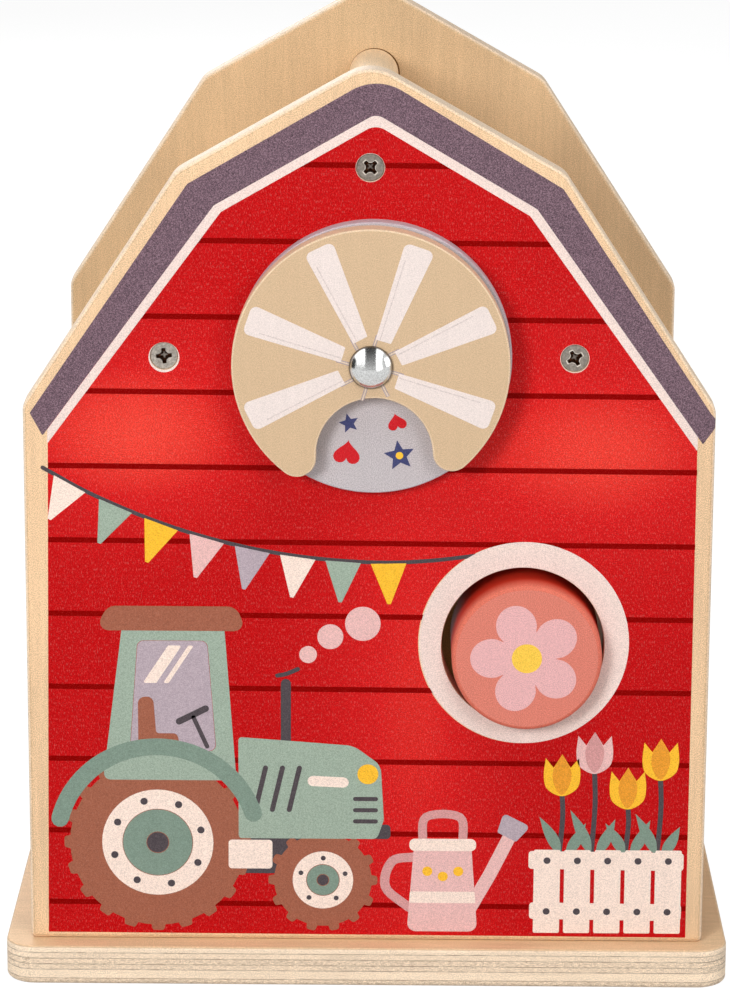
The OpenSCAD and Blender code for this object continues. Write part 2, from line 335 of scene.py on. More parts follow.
def join(x=0.0, y=0.0, z=0.0):
    """A vector of three values"""
    return feed("ShaderNodeCombineXYZ", {0: x, 1: y, 2: z}).outputs[0]


def vector_calc(operation, *values):
    """The outputs of one Vector Math node"""
    return feed("ShaderNodeVectorMath", dict(enumerate(values)), operation=operation).outputs


def board_place(tree, where):
    """The point's place on a board, in its frame: x right, y up and z out of its face"""
    place, turn, size = where.inverted().decompose()
    spot = wire(tree, "ShaderNodeTexCoord").outputs["Object"]
    return wire(tree, "ShaderNodeMapping", {
        "Vector": spot, "Location": place, "Rotation": turn.to_euler(), "Scale": size}).outputs[0]


def noise(spot, stretched, detail=2.0, rough=0.5):
    """Soft noise; stretched is how often it changes along x, y and z"""
    spot = vector_calc("MULTIPLY", spot, stretched)[0]
    inputs = {"Vector": spot, "Scale": 1.0, "Detail": detail, "Roughness": rough}
    return feed("ShaderNodeTexNoise", inputs).outputs[0]


def ramp(factor, stops, mode="LINEAR"):
    """A value or colour that follows a factor through some stops"""
    node = feed("ShaderNodeValToRGB", {"Fac": factor})
    bar = node.color_ramp
    bar.interpolation = mode
    bar.elements.remove(bar.elements[1])
    for k, (position, value) in enumerate(stops):
        element = bar.elements.new(position) if k else bar.elements[0]
        element.position = position
        element.color = value if isinstance(value, tuple) else (value, value, value, 1)
    return node.outputs[0]


def blend_colours(factor, first, second, mode="MIX"):
    inputs = {0: factor, 6: first, 7: second}
    return feed("ShaderNodeMix", inputs, data_type="RGBA", blend_type=mode).outputs[2]


def raise_bumps(tree, shader, height, strength, deep):
    bump = wire(tree, "ShaderNodeBump", {"Height": height, "Strength": strength, "Distance": deep * MM})
    tree.links.new(bump.outputs[0], shader.inputs["Normal"])


def birch(name, where, thickness, plies, face, core=(244, 222, 195), lengthwise=False, seam=0.0, glue=0.95):
    """Birch plywood; plies are pairs of a depth and how coarse the end grain is from there on.
    seam is how deep the face veneer's glue line is, where the sanded edge cuts through it"""
    finish, tree, shader = new_finish(name, 0.55, 0.3)
    spot = board_place(tree, where)
    parts = split(spot)
    depth = calc("DIVIDE", calc("MULTIPLY", parts[2], -1.0), thickness)
    layer = ramp(depth, [(d, k % 2) for k, (d, coarse) in enumerate(plies)], "CONSTANT") if plies else 0.0
    across = join(parts[1], parts[0], parts[2])
    first, second = (across, spot) if lengthwise else (spot, across)
    grain = wire(tree, "ShaderNodeMix", {0: layer, 4: first, 5: second}, data_type="VECTOR").outputs[1]
    fibres = noise(grain, (0.55, 0.03, 0.9), 4.0, 0.6)
    fine = noise(grain, (3.6, 0.3, 3.6), 3.0, 0.6)
    pores = noise(grain, (2.4, 0.2, 2.4), 1.0)
    clouds = noise(grain, (0.03, 0.012, 0.03), 2.0)
    speck = noise(spot, (3.4, 3.4, 3.4), 1.0)
    tone = calc("ADD", calc("MULTIPLY", fibres, 0.2), calc("MULTIPLY", fine, 0.2))
    tone = calc("ADD", tone, calc("MULTIPLY_ADD", clouds, 0.25, 0.1))
    tone = calc("ADD", tone, calc("MULTIPLY", speck, 0.85))
    shades = [[tuple(c * k for c in paint(*tint)[:3]) + (1.0,) for k in (0.71, 1.24)]
              for tint in (face, core)]
    wood, inside = [ramp(tone, [(0.705, dark), (1.085, light)]) for dark, light in shades]
    inner = ramp(depth, [(0.012, 0.0), (0.05, 1.0), (0.95, 1.0), (0.988, 0.0)]) if plies else 0.0
    wood = blend_colours(inner, wood, inside)
    dents = ramp(pores, [(0.65, 0.0), (0.74, 0.2)])
    wood = blend_colours(dents, wood, paint(200, 158, 114))
    if plies:
        coarse = ramp(depth, plies, "CONSTANT")
        dashes = ramp(noise(spot, (0.7, 0.7, 3.4), 4.0, 0.7), [(0.44, 0.0), (0.66, 0.75)])
        wood = blend_colours(calc("MULTIPLY", dashes, coarse), wood, paint(150, 122, 96))
        stops = [(d + side, value) for d, end_grain in plies[1:] if d < 0.95
                 for side, value in ((-0.018, 0.0), (0.0, 1.0), (0.018, 0.0))]
        broken = noise(spot, (0.25, 0.25, 1.5), 3.0)
        line = calc("MULTIPLY", ramp(depth, stops), ramp(broken, [(0.34, 0.25), (0.6, glue)]))
        wood = blend_colours(line, wood, paint(128, 104, 84))
    if seam:
        sanded = calc("MULTIPLY", depth, thickness)
        cut = ramp(sanded, [(seam * k, value) for k, value in ((0.5, 0.0), (1.0, 0.5), (1.5, 0.0))])
        wood = blend_colours(cut, wood, paint(150, 112, 74))
    tree.links.new(wood, shader.inputs["Base Color"])
    raise_bumps(tree, shader, calc("SUBTRACT", fine, dents), 0.25, 0.1)
    return finish


base_thick, base_screw_x, base_screw_y = 12, (-80, -50, 50, 80), (-88, 88)
base_top = facing("top", 0, 0, base_thick)
base_plies = [(0.0, 0.1), (0.16, 0.4), (0.31, 1.0), (0.46, 0.8), (0.60, 0.1), (0.83, 1.0), (0.98, 0.0)]
base_wood = birch("birch_base", base_top, base_thick, base_plies, (227, 192, 152), lengthwise=True,
                  seam=0.35)
base_outline = round_corners(four_corners(-107.5, -100, 107.5, 100, 9))
screw_seat = [(0.1, 0), (0.0, 0.15), (0.0, 0.65), (-2.3, 3.1)]
base_seats = [(round_hole(x, y, 4.15, 32), screw_seat) for x in base_screw_x for y in base_screw_y]
base = sawn_board("base_plate", base_top, base_outline, base_thick, 0.9, base_wood, back_sinks=base_seats,
                  back_edge=1.5)
stands_for(base, "base_board", "barn")


# Gables
# Two birch plywood boards, sawn to the outline of a barn and sanded round all their edges.
# The front one has the round sorting hole, and the back one the doorway for the blocks.
gable_out, gable_thick, gable_foot = 93, 10, 12
roof = [(100, 175.4, 6), (55.5, 243.7, 8), (0, 275.2, 13), (-55.5, 243.7, 8), (-100, 175.4, 6)]
left_foot, right_foot = (-100, gable_foot, 1.6), (100, gable_foot, 1.6)
door_x, door_half, door_post = 27, 38, 62


def arch(half, foot, r):
    """Corners of the doorway's outline, or of one round it, from its left foot to its right one"""
    top = (door_post + half, half - 0.1)
    return [(door_x - half, foot, r), (door_x - half, *top), (door_x + half, *top), (door_x + half, foot, r)]


def pin_hole(x, y):
    """The bore for the windmill's pin, and how far its edge is sanded"""
    return round_hole(x, y, 2.05, 32), 0.05


door_corners = [left_foot] + arch(door_half, gable_foot, 0.8) + [right_foot] + roof
gable_core = (239, 214, 185)
gable_plies = [(0.0, 0.0), (0.15, 0.2), (0.29, 0.0), (0.43, 0.25), (0.57, 0.0), (0.71, 0.2), (0.86, 0.0)]
front_face = facing("front", 0, -gable_out, 0)
back_face = facing("back", 0, gable_out, 0)
screw_x, screw_z, rod_z, pin_x = 59, 190.3, 245.4, 0.5
gable_screws = [(-screw_x, screw_z), (screw_x, screw_z), (0, rod_z)]
gable_seats = [(round_hole(x, z, 4.05, 40), screw_seat) for x, z in gable_screws]
window_x, window_z, window_r = 45.3, 104.0, 23.75
window_hole = (round_hole(window_x, window_z, window_r, 160), 0.45)
# The back gable's veneer is painted darker than the front's, as painted shade: the front gable shades it
for name, node, face, corners, openings, veneer in (
        ("front_gable", "front_panel", front_face, [left_foot, right_foot] + roof,
         [window_hole, pin_hole(pin_x, screw_z)], (230, 194, 154)),
        ("back_gable", "back_panel", back_face, door_corners, [], (209, 177, 137))):
    wood = birch("birch_" + name, face, gable_thick, gable_plies, veneer, gable_core, seam=0.12, glue=0.55)
    gable = sawn_board(name, face, round_corners(corners), gable_thick, 1.5, wood, openings, gable_seats)
    stands_for(gable, node, "barn")


# Print on the gables
# Thin screen-printed inks, each a few hundredths of a millimetre thick: red boards with dark
# joints, a cream and a mauve roof trim, and a cream ring. Bare wood is left along the edges.
red, red_middle, red_light = (184, 2, 7), (204, 22, 23), (229, 64, 50)
mauve, cream, wine = (109, 86, 97), (231, 210, 201), (132, 0, 0)
# Lighter patches of the red ink, partly the print's own fading and partly painted pools of lamp light: their
# middle, how far they reach sideways and up, and how bright
fade_and_light_pools = [(-67, 168, 36, 21, 0.88), (67, 165, 38, 21, 0.74), (-62, 196, 40, 20, 0.14),
               (62, 196, 40, 20, 0.14), (14, 84, 24, 86, 0.6), (66, 140, 40, 26, 0.26),
               (-66, 148, 34, 20, 0.14), (20, 235, 70, 30, 0.06)]


def ink(name, where, tint, fades_and_pools=(), rough=0.5, fleck=0.03, grain=0.05, gloss=0.14):
    """Matt ink over veneer: a fine grain, and pale specks where the wood's pores show through"""
    finish, tree, shader = new_finish(name, rough, gloss)
    spot = board_place(tree, where)
    tone = paint(*tint)
    # Partly the print's fading and partly painted pools of lamp light: the ink lightens round each patch's
    # middle
    if fades_and_pools:
        light = 0.0
        for x, y, wide, high, amount in fades_and_pools:
            away = vector_calc("SUBTRACT", spot, (x, y, 0))[0]
            away = vector_calc("MULTIPLY", away, (1 / wide, 1 / high, 0))[0]
            square = vector_calc("DOT_PRODUCT", away, away)[1]
            glow = calc("MULTIPLY", calc("EXPONENT", calc("MULTIPLY", square, -1.0)), amount)
            light = calc("ADD", light, glow)
        tone = ramp(light, [(0.0, tone), (0.5, paint(*red_middle)), (1.0, paint(*red_light))])
    speck = noise(spot, (3.4, 3.4, 3.4), 1.0)
    fibres = noise(spot, (0.5, 0.02, 0.5), 3.0, 0.6)
    flecks = noise(spot, (3.0, 1.0, 1.0), 1.0)
    value = calc("MULTIPLY_ADD", speck, grain * 18, 0.95 - grain * 9)
    value = calc("ADD", value, calc("MULTIPLY", fibres, 0.1))
    tone = blend_colours(1.0, tone, join(value, value, value), "MULTIPLY")
    shine = ramp(flecks, [(0.56, 0.0), (0.74, fleck)])
    shine = calc("ADD", shine, ramp(speck, [(0.5, 0.0), (0.8, grain * 0.3)]))
    tone = blend_colours(shine, tone, (0.9, 0.75, 0.68, 1))
    tree.links.new(tone, shader.inputs["Base Color"])
    raise_bumps(tree, shader, calc("ADD", speck, flecks), 0.2, 0.05)
    return finish


def film(name, where, shapes, lift, finish):
    """Film of ink that stands lift above a face. A shape is an outline, or a list of an outline and
    the bare spots in it"""
    mesh = bmesh.new()
    home = where.inverted()
    for shape in shapes:
        loops = shape if isinstance(shape[0], list) else [shape]
        tops, lows = [[[mesh.verts.new(where @ Vector((*p, height))) for p in loop] for loop in loops]
                      for height in (lift, -0.01)]
        for rings in zip(tops, lows):
            skin(mesh, rings)
        fill(mesh, tops, home)
        fill(mesh, lows, home)
    return make_piece(name, mesh, finish, flat=True)


def printed(name, where, shapes, lift, finish, on="barn"):
    """Prints some shapes on a face of a body"""
    carry(film(name, where, shapes, lift, finish), on)


def circle(x, y, r, count=48):
    """Outline of a circle, as points alone"""
    return [p for p, out in round_hole(x, y, r, count)]


def rounded(corners, r=None):
    """Outline with round corners, each of its own radius or all of one"""
    return [p for p, out in round_corners([(*c, r) for c in corners] if r else corners)]


def node_tree(name, sizes):
    """An empty Geometry Nodes tree with a named input for each of its sizes"""
    tree = bpy.data.node_groups.new(name, "GeometryNodeTree")
    for way in ("INPUT", "OUTPUT"):
        tree.interface.new_socket("Geometry", in_out=way, socket_type="NodeSocketGeometry")
    for label, kind in list(sizes.items()) + [("Finish", "Material")]:
        tree.interface.new_socket(label, in_out="INPUT", socket_type="NodeSocket" + kind)
    return tree, wire(tree, "NodeGroupInput").outputs


def copies_on(tree, given, points, instance, turned, **more):
    """Ends a tree: copies on some points, made real, with their finish"""
    copies = wire(tree, "GeometryNodeInstanceOnPoints", {
        "Points": points, "Instance": instance, "Rotation": turned, **more}).outputs[0]
    real = wire(tree, "GeometryNodeRealizeInstances", {0: copies}).outputs[0]
    done = wire(tree, "GeometryNodeSetMaterial", {"Geometry": real, "Material": given["Finish"]}).outputs[0]
    wire(tree, "NodeGroupOutput", {0: done})
    return tree


def mark(tree, name):
    """The vector that each point carries under a name"""
    return wire(tree, "GeometryNodeInputNamedAttribute", {"Name": name}, data_type="FLOAT_VECTOR").outputs[0]


def grow(name, tree, where, points=((0, 0, 0),), marks=None, **sizes):
    """Runs a node tree once on some points and keeps the plain mesh that it makes"""
    piece = bpy.data.objects.new(name, bpy.data.meshes.new(name + "_points"))
    piece.data.from_pydata([Vector(p) for p in points], [], [])
    for label, values in (marks or {}).items():
        carried = piece.data.attributes.new(label, "FLOAT_VECTOR", "POINT")
        carried.data.foreach_set("vector", [c for v in values for c in v])
    scene.collection.objects.link(piece)
    modifier = piece.modifiers.new(name, "NODES")
    modifier.node_group = tree
    for socket in tree.interface.items_tree:
        if socket.in_out == "INPUT" and socket.name.lower() in sizes:
            modifier[socket.identifier] = sizes[socket.name.lower()]
    bpy.context.view_layer.update()
    plain = bpy.data.meshes.new_from_object(piece.evaluated_get(bpy.context.evaluated_depsgraph_get()))
    plain.transform(where)
    piece.modifiers.remove(modifier)
    piece.data = plain
    return piece


def joint_tree():
    """Straight inked lines, one on each point, as long as the point's mark says"""
    tree, given = node_tree("board_joints", {"Width": "Float", "Height": "Float"})
    bar = wire(tree, "GeometryNodeMeshCube").outputs[0]
    size = join(split(mark(tree, "long"))[0], given["Width"], given["Height"])
    return copies_on(tree, given, given["Geometry"], bar, mark(tree, "lean"), Scale=size)


joints = joint_tree()


def ink_joints(name, face, spans, slope, finish):
    """Dark joints between boards, each from one x to another at a height"""
    middles = [((a + b) / 2, z - (a + b) / 2 * slope, 0.02) for a, b, z in spans]
    marks = {"long": [(b - a, 0, 0) for a, b, z in spans], "lean": [(0, 0, -slope)] * len(spans)}
    lines = grow(name, joints, face, middles, marks, width=1.6, height=0.08, finish=finish)
    carry(lines, "barn")


def under_trim(z):
    """How far from the middle the mauve trim hides a joint at height z"""
    return min(47 + (240 - z) / 1.49, (266 - z) / 0.593)


def parted(a, b, z, x, reach):
    """A joint from a to b at height z, left out round x"""
    return [(a, x - reach, z), (x + reach, b, z)]


joint_heights = (23.2, 45.65, 68.05, 90.3, 112.65, 134.9, 157.2, 179.45, 201.65, 223.85, 246.05)
trim_in = [(-42.47, 232.41, 1), (1.54, 257.78, 5), (45.57, 231.7, 1)]
trim_middle = [(-44.48, 234.27, 1), (1.6, 260.85, 4), (47.56, 233.7, 1)]
trim_out = [(54.88, 239.55, 1), (1.83, 271.67, 14), (-52.02, 240.4, 1)]
mauve_band = rounded([(-94.27, 166.56, 0.2)] + trim_middle
                     + [(96.4, 165.2, 0.1), (98.4, 168.05, 0.02), (98.4, 174.4, 0.02)]
                     + trim_out + [(-97.86, 173.24, 0.2)])
cream_band = rounded([(-93.05, 164.0, 0.2)] + trim_in + [(94.87, 163.0, 0.2), (94.87, 167.7, 0.2)]
                     + trim_middle[::-1] + [(-92.8, 168.45, 0.2)])

front_red = ink("red_ink", front_face, red, fade_and_light_pools, fleck=0.07, grain=0.08, gloss=0.08)
front_mauve = ink("mauve_ink", front_face, mauve, grain=0.16)
front_cream = ink("cream_ink", front_face, cream)
field = [(-94.8, 14.0), (95.1, 13.55), (94.8, 168), (48, 238), (2.2, 264), (-48, 238), (-92.7, 171)]
# Bare spots round the screws, which the printing screen put a little off their middles
bare_spots = [(-59.0, 189.95, 4.44), (59.0, 190.25, 4.2), (0, 245.4, 4.16)]
printed("red_boards", front_face, [[field, circle(45.38, 104.88, 30.72, 160)]
                                   + [circle(*spot, 40) for spot in bare_spots]], 0.04, front_red)
spans = []
for z in joint_heights:
    a, b = max(-94.6 + (z - 14) * 0.012, -under_trim(z)), min(94.95, under_trim(z))
    cut = [(a, b, z)]
    for x, y, r in (bare_spots[2], (45.5, 104.2, 27.5)):
        if abs(z - y) < r:
            cut = parted(a, b, z, x, math.sqrt(r * r - (z - y) ** 2))
    spans += cut
front_wine = ink("wine_ink", front_face, wine, fleck=0.0, gloss=0.02)
ink_joints("board_joints", front_face, spans, 0.0052, front_wine)
printed("mauve_trim", front_face, [mauve_band], 0.10, front_mauve)
window_ring = [circle(45.66, 104.9, 30.69, 160), circle(window_x, window_z, window_r + 0.2, 160)]
seat_rings = [[circle(*spot, 40), circle(x, z, 4.08, 40)] for spot, (x, z) in zip(bare_spots, gable_screws)]
printed("cream_trim", front_face, [cream_band, window_ring] + seat_rings, 0.08, front_cream)


def draped_ink(name, where, low, high, edge, finish):
    """Ink that runs on over a board's sanded edge, between two lines that meet outside it"""
    mesh = bmesh.new()
    rings = []
    for turn in (math.radians(t) for t in range(0, 77, 11)):
        away = Vector((math.sin(turn), math.cos(turn)))
        x, deep = low[0][0] + edge * away.x, edge * (away.y - 1)
        share = min(1, (x - low[0][0]) / (low[1][0] - low[0][0]))
        a, b = [line[0][1] + (line[1][1] - line[0][1]) * share for line in (low, high)]
        rings.append([mesh.verts.new(where @ Vector((x + away.x * lift, z, deep + away.y * lift)))
                      for z, lift in ((a, 0.09), (b, 0.09), (b, -0.02), (a, -0.02))])
    skin(mesh, rings)
    for end in (rings[0], rings[-1]):
        mesh.faces.new(end)
    carry(make_piece(name, mesh, finish), "barn")


eave_low, eave_high = [(98.4, 168.05), (100.0, 170.35)], [(98.4, 174.4), (100.0, 172.3)]
draped_ink("mauve_eave", front_face, eave_low, eave_high, 1.5, front_mauve)

# The back has the same boards and trim, and a cream frame round its doorway
# The back's red takes the first four lighter patches, partly fading and partly painted pools of lamp light
back_red = ink("back_red_ink", back_face, red, fade_and_light_pools[:4], fleck=0.07, grain=0.08, gloss=0.08)
frame_out, frame_in, spot_r = [arch(door_half + wide, 14, 0.2) for wide in (6.5, 1.6)] + [4.4]
joint_reach = door_half + 3.5
back_field = [(-95, 14, 0.2)] + frame_out + [(x, z, 0.2) for x, z in (
    (95, 14), (95, 168), (48, 238), (1.9, 264), (-48, 238), (-95, 168))]
back_spots = [circle(x, z, spot_r, 40) for x, z in gable_screws]
printed("back_red_boards", back_face, [[rounded(back_field)] + back_spots], 0.04, back_red)
spans = []
for z in joint_heights:
    a, b = max(-95, -under_trim(z)), min(95, under_trim(z))
    reach = math.sqrt(max(0, joint_reach ** 2 - max(0, z - door_post) ** 2))
    if abs(z - rod_z) < spot_r:
        spans += parted(a, b, z, 0, spot_r)
    else:
        spans += parted(a, b, z, door_x, reach) if reach else [(a, b, z)]
back_wine = ink("back_wine_ink", back_face, wine, fleck=0.0, gloss=0.02)
ink_joints("back_board_joints", back_face, spans, 0.0, back_wine)
printed("back_mauve_trim", back_face, [mauve_band], 0.10, ink("back_mauve_ink", back_face, mauve, grain=0.16))
door_frame = rounded(frame_out[:1] + frame_in + frame_out[:0:-1])
printed("back_cream_trim", back_face, [cream_band, door_frame], 0.08, ink("back_cream_ink", back_face, cream))


# Printed tractor
# A tractor is printed over the boards, left of the round hole: a green body on a dark frame,
# brown tyres on cream wheels, and a cab with a grey window. Each colour is one film of ink.
def curve(points, steps=6):
    """A smooth line through some points"""
    points = [Vector(p) for p in points]
    ends = [2 * points[0] - points[1]] + points + [2 * points[-1] - points[-2]]
    line = [points[0]]
    for a, b, c, d in zip(ends, ends[1:], ends[2:], ends[3:]):
        for t in (k / steps for k in range(1, steps + 1)):
            line.append(0.5 * (2 * b + t * (c - a) + t * t * (2 * a - 5 * b + 4 * c - d)
                               + t ** 3 * (3 * b - a - 3 * c + d)))
    return line


def stroke(points, width, ends=6):
    """Outline of a brushed line with round ends"""
    line = [Vector(p) for p in points]
    ways = [(b - a).normalized() for a, b in zip([line[0]] + line, line + [line[-1]]) if (b - a).length]
    ways = [(a + b).normalized() for a, b in zip([ways[0]] + ways, ways + [ways[-1]])][:len(line)]
    sides = [Vector((-w.y, w.x)) * width / 2 for w in ways]
    start = [line[0] + Matrix.Rotation(math.pi * k / ends, 2) @ sides[0] for k in range(1, ends)]
    end = [line[-1] - Matrix.Rotation(math.pi * k / ends, 2) @ sides[-1] for k in range(1, ends)]
    return [p + o for p, o in zip(line, sides)][::-1] + start + [p - o for p, o in zip(line, sides)] + end


def oblong(*sides_and_r):
    """Upright rectangle with round corners: its left, low, right and top sides and its radius"""
    return rounded(four_corners(*sides_and_r))


def band(spot, outer, inner, count=48):
    """A flat ring, and count is how many points its inner edge has"""
    return [circle(*spot, outer), circle(*spot, inner, count)]


def ring_tree():
    """Copies of one drawing, turned evenly round its middle; only the first ones are kept"""
    tree, given = node_tree("ring_of_copies", {"Drawing": "Object", "Places": "Int", "Kept": "Int",
                                               "Start": "Float"})
    places = wire(tree, "GeometryNodeMeshLine", {"Count": given["Places"], "Offset": (0, 0, 0)}).outputs[0]
    number = wire(tree, "GeometryNodeInputIndex").outputs[0]
    turn = calc("DIVIDE", calc("MULTIPLY", number, 2 * math.pi), given["Places"])
    aim = join(z=calc("ADD", turn, given["Start"]))
    drawing = wire(tree, "GeometryNodeObjectInfo", {"Object": given["Drawing"]}).outputs["Geometry"]
    kept = calc("LESS_THAN", number, given["Kept"])
    return copies_on(tree, given, places, drawing, aim, Selection=kept)


ring = ring_tree()


def ring_of(name, where, shape, lift, finish, places, start=0.0, kept=None, on="barn"):
    """Prints copies of one drawing round the middle of a face"""
    model = film(name + "_drawing", Matrix.Identity(4), [shape], lift, finish)
    copies = grow(name, ring, where, drawing=model, places=places, kept=kept or places, start=start,
                  finish=finish)
    bpy.data.objects.remove(model)
    carry(copies, on)


def draw(name, shapes, lift, finish):
    """Prints some shapes on the front gable"""
    printed(name, front_face, shapes, lift, finish)


green, deep_green, brown, charcoal, grey, ivory, pink, rose, gold, amber = [
    ink(name + "_ink", front_face, tint) for name, tint in (
        ("green", (152, 168, 152)), ("deep_green", (122, 142, 128)), ("brown", (154, 92, 70)),
        ("charcoal", (74, 66, 70)), ("grey", (176, 160, 168)), ("ivory", (240, 218, 204)),
        ("pink", (225, 180, 176)), ("rose", (205, 148, 146)), ("gold", (244, 184, 48)),
        ("amber", (226, 150, 44)))]

big, small = (-62, 42.5), (-13, 31)
big_r, small_r = 26, 14.5
draw("tractor_frame", [
    oblong(-60, 33, -8, 45, 1), stroke([(-24, 74), (-24, 92)], 3.0),
    stroke(curve([(-26.5, 94.5), (-24, 95), (-20.5, 96.5)]), 1.3),
    rounded([(-0.5, 44, 0.6), (7, 44, 1.2), (7, 48.5, 1.2), (-0.5, 48.5, 0.6)])], 0.075, charcoal)
draw("tractor_tyres", [circle(*big, big_r), circle(*small, small_r)], 0.10, brown)
for name, spot, r, lugs, wide, bolts, bolt_ring, bolt_r in (
        ("big", big, big_r, 20, 4.6, 8, 13.4, 1.1), ("small", small, small_r, 14, 3.6, 5, 6.9, 0.75)):
    wheel = front_face @ Matrix.Translation((*spot, 0))
    lug = rounded([(r - 1, -wide / 2, 0.4), (r + 1.7, -wide * 0.36, 0.8), (r + 1.7, wide * 0.36, 0.8),
                   (r - 1, wide / 2, 0.4)])
    ring_of(name + "_tyre_lugs", wheel, lug, 0.09, brown, lugs)
    ring_of(name + "_wheel_bolts", wheel, circle(bolt_ring, 0, bolt_r, 14), 0.135, charcoal, bolts, 0.3)
draw("tractor_rims", [band(big, 16.5, 10.5), band(small, 9, 5)], 0.12, ivory)
draw("tractor_hubs", [band(big, 10.3, 3.4, 24), band(small, 4.8, 1.9, 20)], 0.12, deep_green)
draw("tractor_axles", [circle(*big, 3.2, 24), circle(*small, 1.7, 20)], 0.125, charcoal)
body = rounded([(-38, 44, 1), (3, 44, 2), (5, 50, 3), (4, 67, 5), (-4, 73, 8), (-38, 75.5, 1)])
cab = [rounded([(-78, 62, 2), (-38.6, 62, 1), (-42, 109, 1), (-72, 109, 1)]),
       rounded([(-70, 71), (-44.5, 71), (-47, 105), (-67.5, 105)], 2)]
draw("tractor_body", [body, cab], 0.115, green)
draw("tractor_window", [rounded([(-69.9, 71.1), (-44.6, 71.1), (-47.1, 104.9), (-67.4, 104.9)], 2)], 0.11,
     grey)
draw("tractor_glints", [rounded([(-66, 92), (-62, 92), (-54.5, 103.5), (-58.5, 103.5)], 0.4),
                        rounded([(-60, 92), (-58.4, 92), (-51, 103.5), (-52.6, 103.5)], 0.3)], 0.118, ivory)
draw("tractor_seat", [rounded([(-67.5, 71.8, 0.5), (-55, 71.8, 0.5), (-56, 76.5, 1.5), (-62.2, 76.5, 1),
                               (-63, 88, 2), (-67.5, 87.5, 2)])], 0.122, brown)
draw("tractor_wheel", [stroke([(-47.2, 72.5), (-51.2, 81.5)], 1.3),
                       stroke([(-55.4, 80.2), (-47.6, 84.2)], 2.0)], 0.126, charcoal)
draw("tractor_roof", [rounded([(-80, 108, 2.5), (-35.5, 108, 2.5), (-38.5, 115.5, 4), (-76, 115.5, 4)])],
     0.128, brown)
guard = [Vector(big) + (big_r + 3.8) * s for s in spokes(math.radians(18), math.radians(166), 37)]
draw("tractor_mudguard", [stroke(guard, 5.2)], 0.132, deep_green)
draw("tractor_louvres", [stroke([(x, 53), (x + 3, 66)], 1.5) for x in (-33, -28, -23)]
     + [stroke([(-3.5, z), (2.6, z)], 1.3) for z in (49.5, 53, 56.5)], 0.13, charcoal)
draw("tractor_stripe", [stroke([(-16, 62), (-7, 61.6)], 3.2), oblong(-41, 34.5, -28, 43.5, 1)], 0.131, ivory)
draw("tractor_lamp", [circle(0.2, 64.2, 3.1, 32)], 0.135, gold)
draw("tractor_smoke", [circle(-17.5, 101, 2.6, 28), circle(-11, 106.5, 3.8, 32),
                       circle(-1.5, 110.5, 5.2, 40)], 0.09, pink)


# Printed bunting, can and tulips
# A string of pennants hangs above the tractor and runs behind the cream ring. A pink can and a
# cream crate of tulips are printed under the round hole, in the same inks as the tractor.
rope = curve([(-94.4, 157), (-80, 149), (-60, 140.5), (-40, 134.5), (-20, 130.8), (0, 129.2), (16, 129.6),
              (33, 131.6)])
draw("bunting_rope", [stroke(rope, 1.2)], 0.072, charcoal)


def pennant(x):
    """Little flag that hangs from the rope at x, square to it there"""
    a, b = max((pair for pair in zip(rope, rope[1:]) if pair[0].x <= x), key=lambda pair: pair[0].x)
    at, way = a.lerp(b, (x - a.x) / (b.x - a.x)), (b - a).normalized()
    down = Vector((way.y, -way.x))
    return [at + way * along + down * below
            for along, below in ((-5.2, 0.3), (-0.5, 12.6), (0.5, 12.6), (5.2, 0.3))]


first_flag, flag_step = -86.5, 13.2
for k, (name, tint) in enumerate((("ivory", ivory), ("green", green), ("gold", gold), ("pink", pink),
                                  ("grey", grey))):
    spots = [first_flag + flag_step * k, first_flag + flag_step * (k + 5)]
    draw(name + "_pennants", [pennant(x) for x in spots if x < 12], 0.09, tint)

draw("can_spout", [stroke([(30, 21), (36.5, 33), (42.5, 45.5)], 4.0)], 0.09, pink)
draw("can_body", [rounded([(12, 15, 2.5), (33, 15, 2.5), (31, 42, 1), (14, 42, 1)])], 0.10, pink)
draw("can_handles", [stroke(curve([(14.5, 38.5), (7.5, 37), (5.6, 29), (12.6, 22.5)]), 2.8),
                     stroke(curve([(16.5, 43), (17.5, 51), (27.5, 51), (28.5, 43)]), 2.6)], 0.085, rose)
draw("can_rim", [oblong(12.6, 40.4, 32.4, 44.2, 1.6),
                 rounded([(12.6, 24), (32.4, 24), (32.1, 27.6), (12.9, 27.6)], 0.3)], 0.115, ivory)
draw("can_rose", [rounded([(38.6, 46.4, 0.6), (44.2, 43.4, 0.6), (48.4, 48.2, 1.2), (40.4, 52.4, 1.2)])],
     0.115, grey)
draw("can_dots", [circle(x, z, 1.5, 20) for x, z in ((18, 34), (22.6, 32.4), (27.2, 34))], 0.115, gold)

stems = {57.5: 64.0, 67.0: 71.0, 77.0: 60.0, 86.5: 69.0}
draw("tulip_stems", [stroke(curve([(x - 0.6, 38), (x + 0.4, (38 + z) / 2), (x, z - 4)]), 1.5)
                     for x, z in stems.items()], 0.08, charcoal)


def leaf(x, z, long, lean):
    """A leaf that leans over from its foot, in degrees"""
    side = curve([(0, 0), (1.9, long * 0.3), (1.7, long * 0.62), (0, long)], 5)
    other = [Vector((-p.x * 0.7, p.y)) for p in side[-2:0:-1]]
    return [Vector((x, z)) + Matrix.Rotation(math.radians(lean), 2) @ p for p in side + other]


